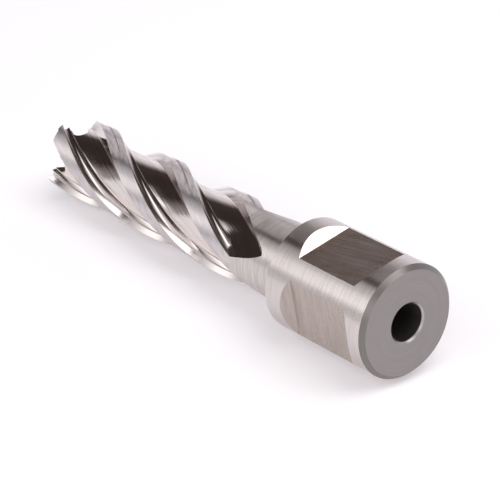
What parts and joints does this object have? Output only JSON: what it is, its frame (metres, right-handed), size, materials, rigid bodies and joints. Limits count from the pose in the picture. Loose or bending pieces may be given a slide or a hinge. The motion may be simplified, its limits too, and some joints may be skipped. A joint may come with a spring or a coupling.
{
  "type": "annular cutter",
  "caption": "Hollow steel hole cutter with stepped teeth, helical flutes, a plain neck and a round side-lock shank with drive flats and a pilot bore.",
  "frame": {"origin": "centre of the shank's end face, on the cutter's axis", "axes": "+Z along the cutter's axis towards the teeth, +X out through the first drive flat, -Y out through the second"},
  "size_m": [0.019, 0.019, 0.087],
  "materials": {
    "ground_steel": "ground, with polished flutes"
  },
  "bodies": {
    "root": {"annular_cutter": "ground_steel"}
  },
  "joints": []
}
